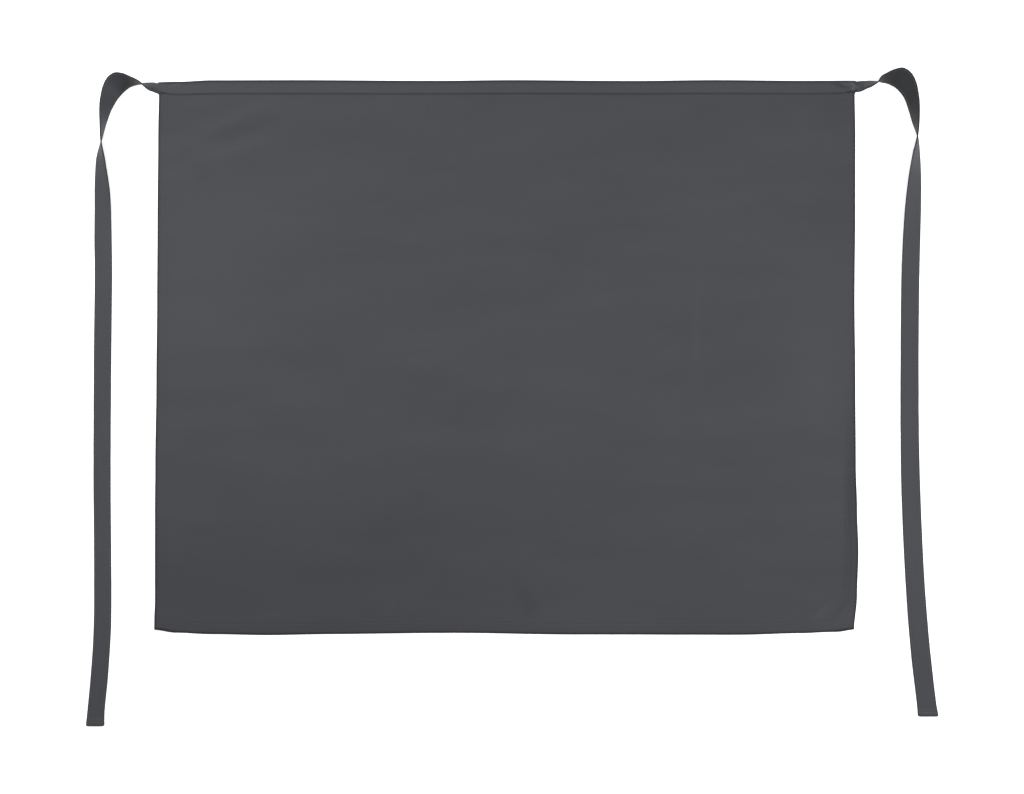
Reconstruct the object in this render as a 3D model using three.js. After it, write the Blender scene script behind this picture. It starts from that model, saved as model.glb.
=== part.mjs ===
// A waist apron laid flat with its front up and its two ties spread out beside it.
// Units are millimetres. +X runs along the waistband, +Y points to the waist and +Z points up
// from the surface that the apron lies on. The origin is the middle of the waistband's back.
//
// The panel is one cloth whose side and bottom edges are turned under as hems. The waistband is
// a strip folded over the panel's top edge. Each tie is a flat stitched tape, sewn into one end
// of the waistband. It turns over, arches outward, turns back and runs down beside the panel.

import * as THREE from "three";

// Cloth
const CLOTH = 1;
const GAP = 0.3;

// Panel
const PANEL_WIDTH = 700;
const PANEL_LENGTH = 553;
const SIDE_HEM = 11.5;
const BOTTOM_HEM = 11.5;
const SETTLE = 15;

// Waistband
const WAISTBAND_DEPTH = 14;
const WAISTBAND_OVERHANG = 0.8;
const HEM_TUCK = 2;

// Ties
const TIE_WIDTH = 18.5;
const TIE_THICKNESS = 2;
const TIE_LENGTH = 688;
const TIE_INSERT = 12;
const TIE_REACH = 55;
const TIE_END_HEM = 7;
const TIE_END_THICKNESS = 3;

// How finely the cloth is divided
const FOLD_STEPS = 3;
const WAISTBAND_FOLD_STEPS = 5;
const SETTLE_STEPS = 3;
const PANEL_COLUMNS = 27;
const PANEL_ROWS = 23;
const FINEST_CELL = 0.5;
const TURN_STEP = 3;
const RUN_STEP = 20;

// Where the panel's side edges lie past its nominal half width, down its length.
// Down is a share of PANEL_LENGTH, left and right are shares of PANEL_WIDTH, outward positive.
const SIDE_EDGES = [
  { down: 0.0, left: -0.0054, right: -0.0016 },
  { down: 0.1, left: -0.004, right: -0.0004 },
  { down: 0.25, left: -0.003, right: -0.0006 },
  { down: 0.4, left: -0.0024, right: -0.0015 },
  { down: 0.55, left: -0.0014, right: -0.0004 },
  { down: 0.7, left: 0.0001, right: 0.0003 },
  { down: 0.78, left: 0.0006, right: 0.0021 },
  { down: 0.86, left: 0.0006, right: 0.004 },
  { down: 0.94, left: 0.0006, right: 0.0021 },
  { down: 1.0, left: 0.0014, right: -0.0024 },
];

// How far the bottom edge hangs past its nominal line, from the left side to the right.
// Across is a share of PANEL_WIDTH and drop a share of PANEL_LENGTH.
const BOTTOM_EDGE = [
  { across: 0.0, drop: -0.0069 },
  { across: 0.03, drop: -0.002 },
  { across: 0.08, drop: 0.0005 },
  { across: 0.16, drop: 0.0024 },
  { across: 0.25, drop: 0.0005 },
  { across: 0.42, drop: -0.0016 },
  { across: 0.6, drop: 0.0013 },
  { across: 0.83, drop: 0.0018 },
  { across: 0.92, drop: -0.0009 },
  { across: 0.97, drop: -0.0033 },
  { across: 1.0, drop: -0.0078 },
];

// How the waistband's top edge waves and how deep the strip is, as shares of WAISTBAND_DEPTH.
const WAIST_EDGE = [
  { across: 0.0, rise: -0.13, depth: 0.89 },
  { across: 0.035, rise: -0.09, depth: 0.95 },
  { across: 0.08, rise: 0.01, depth: 1.0 },
  { across: 0.2, rise: 0.02, depth: 1.01 },
  { across: 0.4, rise: -0.03, depth: 0.97 },
  { across: 0.51, rise: 0.02, depth: 1.0 },
  { across: 0.68, rise: -0.04, depth: 0.96 },
  { across: 0.8, rise: 0.02, depth: 1.0 },
  { across: 0.92, rise: -0.03, depth: 0.97 },
  { across: 1.0, rise: -0.02, depth: 0.93 },
];

// Soft ridges where the cloth stands off the surface. Across, length and width are shares of
// PANEL_WIDTH, down is a share of PANEL_LENGTH, rise is in layers of cloth, and angle is in
// degrees from +X.
const RIDGES = [
  { across: 0.105, down: 0.075, length: 0.19, width: 0.028, rise: 2.6, angle: 21 },
  { across: 0.08, down: 0.138, length: 0.16, width: 0.028, rise: 2.4, angle: 18 },
  { across: 0.55, down: 0.33, length: 0.2, width: 0.05, rise: 1.2, angle: -12 },
  { across: 0.66, down: 0.4, length: 0.16, width: 0.045, rise: 1.2, angle: -8 },
  { across: 0.935, down: 0.6, length: 0.2, width: 0.06, rise: 1.8, angle: 82 },
  { across: 0.77, down: 0.48, length: 0.3, width: 0.035, rise: 1.1, angle: 88 },
  { across: 0.935, down: 0.955, length: 0.06, width: 0.025, rise: 2, angle: 50 },
  { across: 0.53, down: 0.95, length: 0.09, width: 0.035, rise: 1.6, angle: 75 },
  { across: 0.32, down: 0.94, length: 0.08, width: 0.035, rise: 1.2, angle: 68 },
];

// Each tie's way from the waistband's end, over its turn and down beside the panel. In turn, each
// row gives the tape's two edges, the upper and the lower one where it leaves the waistband, as
// [out, up, lift]: out and up lie past the panel's top corner and are shares of TIE_REACH, and
// lift is the height as a share of TIE_WIDTH. In run the tape lies flat, along is a share of the
// length that is left after the turn, and spread is how wide it lies as a share of TIE_WIDTH.
const TIES = [
  {
    name: "tie_left",
    side: -1,
    turn: [
      { upper: [0.035, 0.09, 0.06], lower: [0.035, -0.09, 0.35] },
      { upper: [0.105, 0.085, 0.05], lower: [0.095, -0.07, 0.57] },
      { upper: [0.175, 0.08, 0.05], lower: [0.15, -0.025, 0.74] },
      { upper: [0.25, 0.065, 0.05], lower: [0.205, 0.03, 0.84] },
      { upper: [0.325, 0.05, 0.08], lower: [0.275, 0.09, 0.91] },
      { upper: [0.395, 0.025, 0.14], lower: [0.36, 0.135, 0.96] },
      { upper: [0.46, -0.015, 0.27], lower: [0.45, 0.18, 0.98] },
      { upper: [0.505, -0.07, 0.49], lower: [0.55, 0.225, 0.95] },
      { upper: [0.54, -0.12, 0.68], lower: [0.7, 0.24, 0.86] },
      { upper: [0.58, -0.17, 0.76], lower: [0.83, 0.155, 0.82] },
      { upper: [0.645, -0.24, 0.7], lower: [0.91, 0, 0.86] },
      { upper: [0.72, -0.325, 0.43], lower: [0.95, -0.185, 0.93] },
      { upper: [0.79, -0.42, 0.23], lower: [0.965, -0.375, 0.96] },
      { upper: [0.905, -0.695, 0.05], lower: [0.955, -0.72, 0.96] },
      { upper: [0.985, -0.975, 0.05], lower: [0.935, -1.01, 0.98] },
      { upper: [1.07, -1.285, 0.05], lower: [0.875, -1.31, 0.89] },
      { upper: [1.1, -1.755, 0.05], lower: [0.815, -1.77, 0.58] },
      { upper: [1.105, -2.05, 0.05], lower: [0.795, -2.055, 0.38] },
      { upper: [1.11, -2.63, 0], lower: [0.795, -2.63, 0] },
    ],
    run: [
      { along: 0.08, out: 0.945, spread: 0.945 },
      { along: 0.25, out: 0.96, spread: 0.945 },
      { along: 0.5, out: 0.97, spread: 0.935 },
      { along: 0.65, out: 0.96, spread: 0.935 },
      { along: 0.8, out: 0.965, spread: 0.945 },
      { along: 0.9, out: 1.02, spread: 0.94 },
      { along: 0.97, out: 1.08, spread: 0.94 },
      { along: 1.0, out: 1.095, spread: 1.0 },
    ],
  },
  {
    name: "tie_right",
    side: 1,
    turn: [
      { upper: [0.095, 0.115, 0.06], lower: [0.085, -0.085, 0.35] },
      { upper: [0.19, 0.115, 0.05], lower: [0.17, -0.045, 0.58] },
      { upper: [0.275, 0.115, 0.05], lower: [0.25, -0.015, 0.71] },
      { upper: [0.35, 0.11, 0.05], lower: [0.315, 0.025, 0.81] },
      { upper: [0.41, 0.105, 0.05], lower: [0.37, 0.07, 0.87] },
      { upper: [0.485, 0.085, 0.09], lower: [0.43, 0.165, 0.9] },
      { upper: [0.565, 0.065, 0.19], lower: [0.515, 0.22, 0.94] },
      { upper: [0.625, 0.025, 0.35], lower: [0.595, 0.265, 0.95] },
      { upper: [0.68, -0.02, 0.56], lower: [0.695, 0.305, 0.92] },
      { upper: [0.72, -0.065, 0.71], lower: [0.83, 0.325, 0.86] },
      { upper: [0.765, -0.12, 0.76], lower: [0.97, 0.235, 0.84] },
      { upper: [0.825, -0.185, 0.65], lower: [1.06, 0.06, 0.88] },
      { upper: [0.89, -0.27, 0.38], lower: [1.1, -0.15, 0.92] },
      { upper: [0.94, -0.37, 0.19], lower: [1.115, -0.345, 0.93] },
      { upper: [1.03, -0.625, 0.05], lower: [1.105, -0.655, 0.95] },
      { upper: [1.125, -0.885, 0.05], lower: [1.07, -0.92, 0.99] },
      { upper: [1.165, -1.21, 0.05], lower: [0.99, -1.24, 0.95] },
      { upper: [1.19, -1.7, 0.05], lower: [0.915, -1.72, 0.74] },
      { upper: [1.185, -2.375, 0.05], lower: [0.86, -2.385, 0.46] },
      { upper: [1.16, -3.5, 0], lower: [0.83, -3.5, 0] },
    ],
    run: [
      { along: 0.12, out: 0.985, spread: 0.98 },
      { along: 0.35, out: 0.985, spread: 1.0 },
      { along: 0.5, out: 1.01, spread: 1.03 },
      { along: 0.7, out: 1.085, spread: 1.04 },
      { along: 0.85, out: 1.18, spread: 1.06 },
      { along: 0.97, out: 1.29, spread: 1.06 },
      { along: 1.0, out: 1.32, spread: 1.13 },
    ],
  },
];

// Sizes that follow from the driving ones
const LAYER = CLOTH + GAP;
const FOLD_RADIUS = LAYER / 2;
const FOLD_INSET = CLOTH / 2 + FOLD_RADIUS;
const HALF_WIDTH = PANEL_WIDTH / 2;
const WAIST_TOP = WAISTBAND_DEPTH / 2;
const PANEL_TOP = CLOTH + (CLOTH + 2 * GAP) / 2;
const POCKET = Math.max(TIE_INSERT, SIDE_HEM) + GAP;
const POCKET_DEPTH = WAISTBAND_DEPTH - HEM_TUCK;
const ROOT_HEIGHT = CLOTH + GAP + TIE_THICKNESS / 2;
const ROOT_CLEARANCE = 1.5 * GAP;
const ROOT_WIDTH = POCKET_DEPTH - CLOTH - ROOT_CLEARANCE - GAP;
const ROOT_DOWN = CLOTH + ROOT_CLEARANCE + ROOT_WIDTH / 2;
const ROOT_STATIONS = [1, 0.2, 0];

// Materials
const CHARCOAL = { color: 0x505256, roughness: 0.92, metalness: 0 };
const CHARCOAL_TIE = { color: 0x56585c, roughness: 0.9, metalness: 0 };

// A smooth curve through a table's rows, from one named column to another.
function tableCurve(rows, from, to) {
  return (value) => {
    const last = rows.length - 1;
    const place = Math.min(Math.max(value, rows[0][from]), rows[last][from]);
    let index = 0;
    while (index < last - 1 && place > rows[index + 1][from]) index++;
    const start = rows[index];
    const end = rows[index + 1];
    const share = (place - start[from]) / (end[from] - start[from]);
    return THREE.MathUtils.lerp(start[to], end[to], THREE.MathUtils.smoothstep(share, 0, 1));
  };
}

const leftEdge = tableCurve(SIDE_EDGES, "down", "left");
const rightEdge = tableCurve(SIDE_EDGES, "down", "right");
const bottomDrop = tableCurve(BOTTOM_EDGE, "across", "drop");
const waistRise = tableCurve(WAIST_EDGE, "across", "rise");
const waistDepth = tableCurve(WAIST_EDGE, "across", "depth");

// The panel's outer edge on one side, as a distance from the middle.
function edgeDistance(side, down) {
  const edge = side < 0 ? leftEdge : rightEdge;
  return HALF_WIDTH + PANEL_WIDTH * edge(down / PANEL_LENGTH);
}

function acrossShare(x) {
  return (x + HALF_WIDTH) / PANEL_WIDTH;
}

function waistTop(x) {
  return WAIST_TOP + WAISTBAND_DEPTH * waistRise(acrossShare(x));
}

// How far a ridge pattern lifts the cloth at a place on the panel.
function ridgeLift(x, down) {
  let lift = 0;
  for (const ridge of RIDGES) {
    const angle = THREE.MathUtils.degToRad(ridge.angle);
    const east = x - PANEL_WIDTH * (ridge.across - 0.5);
    const north = PANEL_LENGTH * ridge.down - down;
    const along = (east * Math.cos(angle) + north * Math.sin(angle)) / (PANEL_WIDTH * ridge.length / 2);
    const aside = (north * Math.cos(angle) - east * Math.sin(angle)) / (PANEL_WIDTH * ridge.width / 2);
    if (Math.abs(along) < 1 && Math.abs(aside) < 1) {
      lift += CLOTH * ridge.rise * (1 - along ** 2) ** 2 * (1 - aside ** 2) ** 2;
    }
  }
  return lift;
}

// One where cloth lies over a hem of this reach, falling to nothing beside it.
function settle(distance, reach) {
  return 1 - THREE.MathUtils.smoothstep(distance, reach, reach + SETTLE);
}

// Cloth turned over a fold: turn is 0 on its upper layer, PI on its lower one. Offset is a
// distance from the middle of the cloth towards the outside of the fold.
function turnOver(inset, turn, radius, offset) {
  return {
    out: Math.sin(turn) * (radius + offset) - inset,
    height: Math.cos(turn) * (radius + offset) - radius,
  };
}

// Stations from a hem's free edge, round its fold and on to where the cloth has settled.
function hemStations(hem, cleared) {
  const reach = hem - FOLD_INSET;
  const stations = [{ inset: reach, turn: Math.PI }];
  for (let step = FOLD_STEPS; step >= 0; step--) {
    stations.push({ inset: 0, turn: (Math.PI * step) / FOLD_STEPS });
  }
  stations.push({ inset: reach, turn: 0 });
  for (let step = 0; step <= SETTLE_STEPS; step++) {
    stations.push({ inset: cleared + (SETTLE * step) / SETTLE_STEPS, turn: 0 });
  }
  return stations;
}

// Shares from 0 to 1 whose steps grow evenly, from FINEST_CELL of the mean to the rest.
function gradedShares(count) {
  const shares = [];
  for (let index = 1; index < count; index++) {
    const even = index / count;
    shares.push(FINEST_CELL * even + (1 - FINEST_CELL) * even ** 2);
  }
  return shares;
}

// A closed sheet of cloth over a grid of columns and rows. Place gives a point on its outer
// face for offset +CLOTH / 2 and on its inner face for -CLOTH / 2.
function clothSheet(columns, rows, place, holds) {
  const positions = [];
  const indices = [];
  const numbers = new Map();
  const filled = (column, row) =>
    column >= 0 && row >= 0 && column < columns.length - 1 && row < rows.length - 1 && holds(column, row);
  const vertex = (column, row, face) => {
    const key = `${column} ${row} ${face}`;
    if (!numbers.has(key)) {
      numbers.set(key, positions.length / 3);
      const point = place(columns[column], rows[row], (face * CLOTH) / 2);
      positions.push(point.x, point.y, point.z);
    }
    return numbers.get(key);
  };
  const quad = (a, b, c, d) => indices.push(a, b, c, a, c, d);
  const wall = (a, b) => {
    quad(vertex(...b, 1), vertex(...a, 1), vertex(...a, -1), vertex(...b, -1));
  };
  for (let column = 0; column < columns.length - 1; column++) {
    for (let row = 0; row < rows.length - 1; row++) {
      if (!filled(column, row)) continue;
      const corners = [[column, row], [column, row + 1], [column + 1, row + 1], [column + 1, row]];
      quad(...corners.map((corner) => vertex(...corner, 1)));
      quad(...corners.toReversed().map((corner) => vertex(...corner, -1)));
      if (!filled(column - 1, row)) wall(corners[0], corners[1]);
      if (!filled(column, row + 1)) wall(corners[1], corners[2]);
      if (!filled(column + 1, row)) wall(corners[2], corners[3]);
      if (!filled(column, row - 1)) wall(corners[3], corners[0]);
    }
  }
  return closedGeometry(positions, indices);
}

function closedGeometry(positions, indices) {
  const geometry = new THREE.BufferGeometry();
  geometry.setAttribute("position", new THREE.Float32BufferAttribute(positions, 3));
  geometry.setIndex(indices);
  geometry.computeVertexNormals();
  return geometry;
}

// Panel columns: a hem on each side and evenly growing cells between them
const SIDE_REACH = SIDE_HEM - FOLD_INSET;
const SIDE_CLEARED = POCKET - FOLD_INSET;
const sideStations = hemStations(SIDE_HEM, SIDE_CLEARED);
const panelColumns = [
  ...sideStations.map((station) => ({ ...station, side: -1 })),
  ...gradedShares(PANEL_COLUMNS).map((share) => ({ share, turn: 0 })),
  ...sideStations.toReversed().map((station) => ({ ...station, side: 1 })),
];

// Panel rows: the waistband's stations, evenly growing cells, and the bottom hem
const BOTTOM_LINE = PANEL_LENGTH - FOLD_INSET;
const BOTTOM_REACH = BOTTOM_HEM - FOLD_INSET;
const BOTTOM_CLEARED = BOTTOM_REACH + GAP;
const WAIST_CLEARED = WAISTBAND_DEPTH + GAP;
const bottomRows = hemStations(BOTTOM_HEM, BOTTOM_CLEARED)
  .toReversed()
  .map((station) => ({ down: BOTTOM_LINE - station.inset, turn: station.turn }));
const waistRows = [PANEL_TOP, POCKET_DEPTH, WAISTBAND_DEPTH];
for (let step = 0; step <= SETTLE_STEPS; step++) {
  waistRows.push(WAIST_CLEARED + (SETTLE * step) / SETTLE_STEPS);
}
const firstOpenRow = waistRows.at(-1);
const openLength = bottomRows[0].down - firstOpenRow;
const panelRows = [
  ...waistRows.map((down) => ({ down, turn: 0 })),
  ...gradedShares(PANEL_ROWS).map((share) => ({ down: firstOpenRow + openLength * share, turn: 0 })),
  ...bottomRows,
];

// How much a column is over a side hem, and where it lies across the panel.
function columnRise(column) {
  return column.side ? settle(column.inset, SIDE_CLEARED) : 0;
}

function innerEdge(side, down) {
  return side * (edgeDistance(side, down) - FOLD_INSET - SIDE_CLEARED - SETTLE);
}

function columnX(column, down, offset) {
  if (!column.side) return THREE.MathUtils.lerp(innerEdge(-1, down), innerEdge(1, down), column.share);
  const fold = turnOver(column.inset, column.turn, FOLD_RADIUS, offset);
  return column.side * (edgeDistance(column.side, down) - FOLD_INSET + fold.out);
}

function panelPoint(column, row, offset) {
  const overSide = columnRise(column);
  const overBottom = settle(BOTTOM_LINE - row.down, BOTTOM_CLEARED);
  const overWaist = settle(row.down, WAIST_CLEARED);
  const x = columnX(column, row.down, offset);
  const free = (1 - overSide) * (1 - overBottom) * (1 - overWaist);
  const layers = overSide + overBottom + overSide * overBottom + overWaist;
  const lift = LAYER * layers + free * ridgeLift(x, row.down);
  const sideHeight = column.turn ? turnOver(column.inset, column.turn, FOLD_RADIUS, offset).height : offset;
  const fold = turnOver(0, row.turn, lift / 2, sideHeight);
  const share = row.down / PANEL_LENGTH;
  const wave = (waistTop(x) - WAIST_TOP) * (1 - share);
  const drop = PANEL_LENGTH * bottomDrop(acrossShare(x)) - LAYER * overSide;
  const y = WAIST_TOP + wave - row.down - drop * share ** 2 - fold.out;
  return new THREE.Vector3(x, y, CLOTH / 2 + lift + fold.height);
}

// The panel's top corners are trimmed inside the waistband, where the ties are sewn in.
function panelHolds(column, row) {
  const corner = [panelColumns[column], panelColumns[column + 1]].some(
    (station) => station.side && station.inset < SIDE_CLEARED,
  );
  return !(corner && panelRows[row].down < POCKET_DEPTH);
}

// Waistband columns share the panel's, so that the strip rises over the hems with it.
const waistColumns = [
  { side: -1, inset: -FOLD_INSET - WAISTBAND_OVERHANG, turn: 0 },
  ...panelColumns.filter((column) => column.turn === 0),
  { side: 1, inset: -FOLD_INSET - WAISTBAND_OVERHANG, turn: 0 },
];
const waistStations = [{ edge: true, turn: Math.PI }];
for (let step = WAISTBAND_FOLD_STEPS; step >= 0; step--) {
  waistStations.push({ edge: false, turn: (Math.PI * step) / WAISTBAND_FOLD_STEPS });
}
waistStations.push({ edge: true, turn: 0 });

function waistPoint(column, station, offset) {
  const x = columnX(column, WAIST_TOP, 0);
  const radius = (LAYER * (2 + columnRise(column))) / 2;
  const depth = WAISTBAND_DEPTH * waistDepth(acrossShare(x));
  const inset = station.edge ? depth - CLOTH / 2 - radius : 0;
  const fold = turnOver(inset, station.turn, radius, offset);
  const y = waistTop(x) - CLOTH / 2 - radius + fold.out;
  return new THREE.Vector3(x, y, CLOTH / 2 + 2 * radius + fold.height);
}

// A tie's centre line, and at the same parameter half of its section, as a vector to its upper edge.
function tieRoute(tie) {
  const waistEnd = edgeDistance(tie.side, 0) - HALF_WIDTH + WAISTBAND_OVERHANG;
  const centres = [];
  const halves = [];
  for (const share of ROOT_STATIONS) {
    const x = HALF_WIDTH + waistEnd - TIE_INSERT * share;
    centres.push(new THREE.Vector3(x, waistTop(tie.side * x) - ROOT_DOWN, ROOT_HEIGHT));
    halves.push(new THREE.Vector3(0, ROOT_WIDTH / 2, 0));
  }
  const size = new THREE.Vector3(TIE_REACH, TIE_REACH, TIE_WIDTH);
  for (const row of tie.turn) {
    const upper = new THREE.Vector3(...row.upper).multiply(size);
    const lower = new THREE.Vector3(...row.lower).multiply(size);
    const centre = upper.clone().add(lower).divideScalar(2);
    centres.push(centre.setX(centre.x + HALF_WIDTH));
    halves.push(upper.sub(lower).divideScalar(2));
  }
  const turnLength = new THREE.CatmullRomCurve3(centres).getLength();
  const runLength = TIE_INSERT + TIE_LENGTH - turnLength;
  const runTop = centres.at(-1).y;
  for (const row of tie.run) {
    centres.push(new THREE.Vector3(HALF_WIDTH + TIE_REACH * row.out, runTop - runLength * row.along, 0));
    halves.push(new THREE.Vector3((TIE_WIDTH * row.spread) / 2, 0, 0));
  }
  const centreLine = new THREE.CatmullRomCurve3(centres);
  centreLine.arcLengthDivisions = 40 * centres.length;
  return { centreLine, half: new THREE.CatmullRomCurve3(halves, false, "catmullrom", 0.5), turnLength };
}

// Distances along a tie at which its section is drawn.
function tieStops(turnLength, length) {
  const stops = [0, TIE_INSERT / 2, TIE_INSERT];
  for (let stop = TIE_INSERT + TURN_STEP; stop < turnLength; stop += TURN_STEP) stops.push(stop);
  const plainEnd = length - TIE_END_HEM - TIE_THICKNESS;
  const runSteps = Math.round((plainEnd - turnLength) / RUN_STEP);
  for (let step = 0; step <= runSteps; step++) {
    stops.push(THREE.MathUtils.lerp(turnLength, plainEnd, step / runSteps));
  }
  stops.push(length - TIE_END_HEM, length - TIE_END_HEM / 2, length);
  return stops;
}

// The tape's section: flat on both faces, with softened edges.
function tieSection(width, thickness) {
  const half = width / 2;
  const deep = thickness / 2;
  const flat = half - deep;
  const one = [[flat, deep], [half, deep / 3], [half, -deep / 3], [flat, -deep]];
  const other = one.map(([aside, above]) => [-aside, -above]);
  return [...one, ...other];
}

function tieGeometry(tie) {
  const { centreLine, half, turnLength } = tieRoute(tie);
  const length = centreLine.getLength();
  const positions = [];
  const indices = [];
  const stops = tieStops(turnLength, length);
  const ring = tieSection(1, 1).length;
  for (const stop of stops) {
    const parameter = centreLine.getUtoTmapping(stop / length);
    const centre = centreLine.getPoint(parameter);
    const ahead = centreLine.getTangent(parameter);
    const aside = half.getPoint(parameter);
    const width = 2 * aside.length();
    aside.normalize();
    const face = new THREE.Vector3().crossVectors(ahead, aside).normalize();
    const hemmed = length - stop <= TIE_END_HEM + GAP;
    const thickness = hemmed ? TIE_END_THICKNESS : TIE_THICKNESS;
    const reach = (Math.abs(aside.z) * width + Math.abs(face.z) * thickness) / 2;
    centre.z = Math.max(centre.z, reach);
    for (const [along, deep] of tieSection(width, thickness)) {
      const point = centre.clone().addScaledVector(aside, along).addScaledVector(face, deep);
      positions.push(tie.side * point.x, point.y, point.z);
    }
  }
  const triangle = (a, b, c) => (tie.side < 0 ? indices.push(a, b, c) : indices.push(a, c, b));
  for (let stop = 0; stop < stops.length - 1; stop++) {
    for (let index = 0; index < ring; index++) {
      const a = stop * ring + index;
      const b = stop * ring + ((index + 1) % ring);
      triangle(a, b, b + ring);
      triangle(a, b + ring, a + ring);
    }
  }
  const lastRing = (stops.length - 1) * ring;
  for (let index = 1; index < ring - 1; index++) {
    triangle(0, index + 1, index);
    triangle(lastRing, lastRing + index, lastRing + index + 1);
  }
  return closedGeometry(positions, indices);
}

function piece(name, geometry, finish) {
  const mesh = new THREE.Mesh(geometry, new THREE.MeshStandardMaterial(finish));
  mesh.name = name;
  return mesh;
}

const apron = new THREE.Group();
apron.add(piece("panel", clothSheet(panelColumns, panelRows, panelPoint, panelHolds), CHARCOAL));
apron.add(piece("waistband", clothSheet(waistColumns, waistStations, waistPoint, () => true), CHARCOAL));
for (const tie of TIES) apron.add(piece(tie.name, tieGeometry(tie), CHARCOAL_TIE));

export default apron;
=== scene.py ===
# A waist apron laid flat with its front up and its two ties spread out beside it.
# Lengths are in metres, in the frame of the solids: +X runs along the waistband, +Y points to
# the waist and +Z points up from the floor. The tables of edges, ridges and ties are those of the
# solids. The cloth is thinner and finer here, with its wrinkles, stitches and weave, and with
# painted shade and painted light drawn into its colour.

import math

import bpy
import numpy as np
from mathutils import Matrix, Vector


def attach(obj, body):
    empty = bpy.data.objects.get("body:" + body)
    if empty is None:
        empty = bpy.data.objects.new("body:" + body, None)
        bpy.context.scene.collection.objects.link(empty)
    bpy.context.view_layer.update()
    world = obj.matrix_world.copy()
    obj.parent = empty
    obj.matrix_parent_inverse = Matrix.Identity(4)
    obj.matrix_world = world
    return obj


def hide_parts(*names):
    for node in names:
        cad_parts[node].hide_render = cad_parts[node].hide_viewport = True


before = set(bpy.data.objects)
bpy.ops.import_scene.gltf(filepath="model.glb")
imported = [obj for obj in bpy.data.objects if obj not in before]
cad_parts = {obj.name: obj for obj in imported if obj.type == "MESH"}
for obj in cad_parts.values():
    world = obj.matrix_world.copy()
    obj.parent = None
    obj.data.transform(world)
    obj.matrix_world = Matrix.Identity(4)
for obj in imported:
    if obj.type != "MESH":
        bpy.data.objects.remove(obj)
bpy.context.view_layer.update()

MM = 0.001

# Cloth
CLOTH = 0.6 * MM
GAP = 0.2 * MM
LAYER = CLOTH + GAP
FOLD_RADIUS = LAYER / 2
FOLD_INSET = CLOTH / 2 + FOLD_RADIUS
FOLD_STEPS = 9

# Panel
PANEL_WIDTH = 700 * MM
PANEL_LENGTH = 553 * MM
HALF_WIDTH = PANEL_WIDTH / 2
HEM = 11.5 * MM
HEM_STITCH = 10 * MM
SETTLE = 15 * MM
WAIST_SETTLE = 5 * MM
CELL = 4.2 * MM

# Waistband
WAISTBAND_DEPTH = 14 * MM
WAISTBAND_OVERHANG = 0.8 * MM
WAIST_TOP = WAISTBAND_DEPTH / 2
WAISTBAND_STITCHES = (3 * MM, 8.4 * MM)
HEM_TUCK = 2 * MM
WAISTBAND_CELL = 1.5 * MM
WRINKLE_SLANT = 1.6
SEAM_FLATTENING = 0.75

# The waistband's ends: how far the lower corners curl up and in, and how the ends flatten
CORNER_RUN = 15 * MM
CORNER_RISE = 2.6 * MM
CORNER_LIFT = 1.8 * MM
END_RUN = 3 * MM
END_DROP = 0.35 * MM
END_THINNING = 0.7

# Ties
TIE_WIDTH = 18.5 * MM
TIE_THICKNESS = 1.4 * MM
TIE_LENGTH = 688 * MM
TIE_INSERT = 12 * MM
ROOT_CLEARANCE = 1.5 * GAP
ROOT_STATIONS = (1, 0.2, 0)
TIE_REACH = 55 * MM
TIE_END_HEM = 7 * MM
TIE_END_THICKNESS = 2.4 * MM
TIE_END_SLOPE = 1.2 * MM
TIE_STITCH = 1.8 * MM
TIE_STEP = 0.8 * MM
TIE_CORNER = 1.6 * MM
TIE_END_STITCH = 4 * MM
TIE_STITCH_START = 2 * MM
TIE_STITCH_STOP = 1 * MM
TIE_WANDER = 0.012
TIE_WANDER_CELL = 14 * MM
TIE_FULLNESS = 0.1 * MM
TIE_CELLS = (7 * MM, 5 * MM)

# The points of a tie's section, inward from its edge, the points that the row of stitches
# across its tip leaves out at each edge, and the rings of its rounded corners
TIE_EDGE_INSETS = MM * np.array([0, 0.06, 0.2, 0.45])
TIE_FACE_INSETS = MM * np.array([3, 4.2, 6.2])
TIE_GROOVE_MARGIN = 0.4 * MM
TIE_END_MARGIN = 3
TIE_CORNER_RINGS = np.array([0.8, 0.6, 0.4, 0.25, 0.12, 0.04, 0])

# Stitches
STITCH_PITCH = 3.1 * MM
STITCH_LENGTH = 2.5 * MM
THREAD_RADIUS = 0.17 * MM
STITCH_SIDES = 6
GROOVE_DEPTH = 0.14 * MM
GROOVE_WIDTH = 0.6 * MM
GROOVE_STEPS = np.array([-1, -0.5, 0, 0.5, 1])
TIE_GROOVE_DEPTH = 1.6 * GROOVE_DEPTH
STITCH_PULL = 0.3
PUCKER_HEIGHT = 0.26 * MM
PUCKER_REACH = 5 * MM
LONG_PUCKER = 8 * MM
SHORT_PUCKER = 3.7 * MM
SHORT_PUCKER_SHARE = 0.5

# Waves of uneven cloth, in millimetres: how high they are, and how long each way
BROAD_WAVES = (0.5, 60, 45)
SMALL_WAVES = (0.22, 21, 13)
WAISTBAND_WRINKLES = (0.24, 9, 16)
WAISTBAND_WAVES = (0.2, 34, 7)


def table(columns, *rows):
    """A table as one array for each named column."""
    return {name: np.array(values, float) for name, values in zip(columns.split(), zip(*rows))}


# Where the panel's side edges lie past its half width, as shares of its length and width
SIDE_EDGES = table(
    "down left right",
    (0.0, -0.0054, -0.0016),
    (0.1, -0.004, -0.0004),
    (0.25, -0.003, -0.0006),
    (0.4, -0.0024, -0.0015),
    (0.55, -0.0014, -0.0004),
    (0.7, 0.0001, 0.0003),
    (0.78, 0.0006, 0.0021),
    (0.86, 0.0006, 0.004),
    (0.94, 0.0006, 0.0021),
    (1.0, 0.0014, -0.0024),
)

# How far the bottom edge hangs past its line, as shares of the panel's width and length
BOTTOM_EDGE = table(
    "across drop",
    (0.0, -0.0069),
    (0.03, -0.002),
    (0.08, 0.0005),
    (0.16, 0.0024),
    (0.25, 0.0005),
    (0.42, -0.0016),
    (0.6, 0.0013),
    (0.83, 0.0018),
    (0.92, -0.0009),
    (0.97, -0.0033),
    (1.0, -0.0078),
)

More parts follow.
